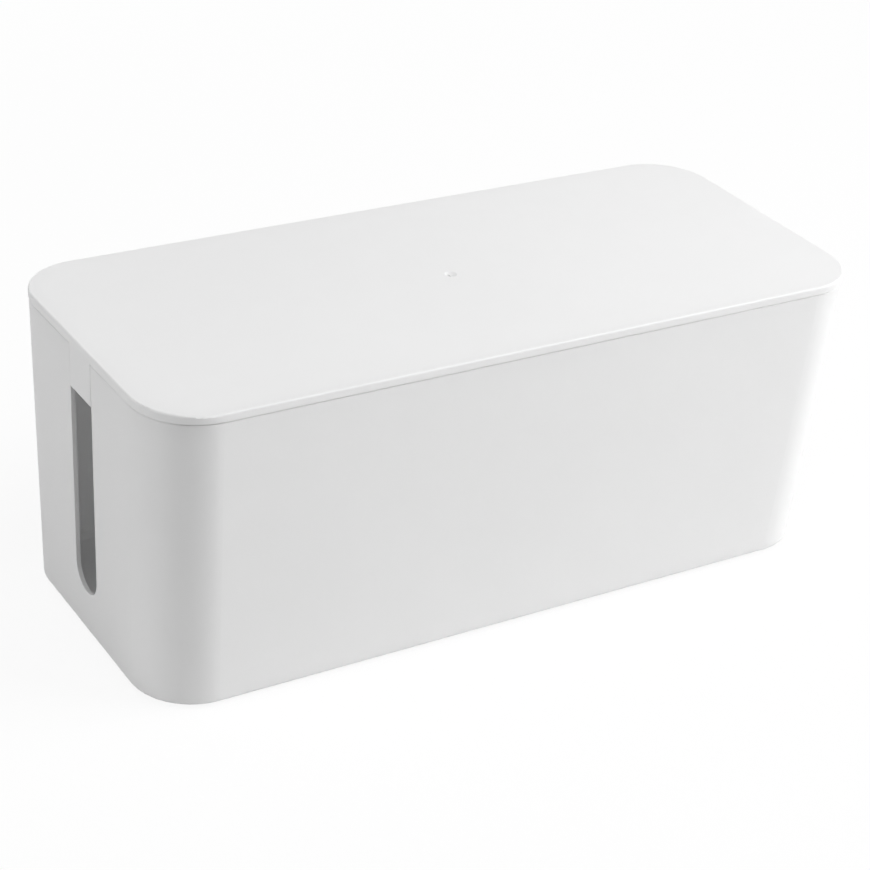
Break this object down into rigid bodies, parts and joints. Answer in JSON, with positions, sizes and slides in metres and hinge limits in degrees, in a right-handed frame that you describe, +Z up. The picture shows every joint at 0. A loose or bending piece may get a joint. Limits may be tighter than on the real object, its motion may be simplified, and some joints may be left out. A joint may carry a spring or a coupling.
{
  "type": "cable management box",
  "caption": "Rounded, slightly tapered plastic box with a lift-off lid and a cable slot in each end, used to hide a power strip and its cables.",
  "frame": {"origin": "middle of the box's footprint, on the surface that its feet stand on", "axes": "+X along the box, +Y towards its rear long side, +Z up"},
  "size_m": [0.32, 0.137, 0.1285],
  "materials": {
    "tray_plastic": "satin white",
    "lid_plastic": "satin white",
    "foot_rubber": "matte dark grey",
    "foot_adhesive": "pale acrylic film"
  },
  "bodies": {
    "tray": {"tray": "tray_plastic", "foot_front_left": "foot_rubber", "foot_front_right": "foot_rubber", "foot_rear_left": "foot_rubber", "foot_rear_right": "foot_rubber", "foot_tape_front_left": "foot_adhesive", "foot_tape_front_right": "foot_adhesive", "foot_tape_rear_left": "foot_adhesive", "foot_tape_rear_right": "foot_adhesive"},
    "lid": {"lid": "lid_plastic"}
  },
  "joints": [
    {"name": "lid_lift", "type": "slide", "parent": "tray", "child": "lid", "axis": [0, 0, 1], "range_m": [0, 0.13]}
  ]
}
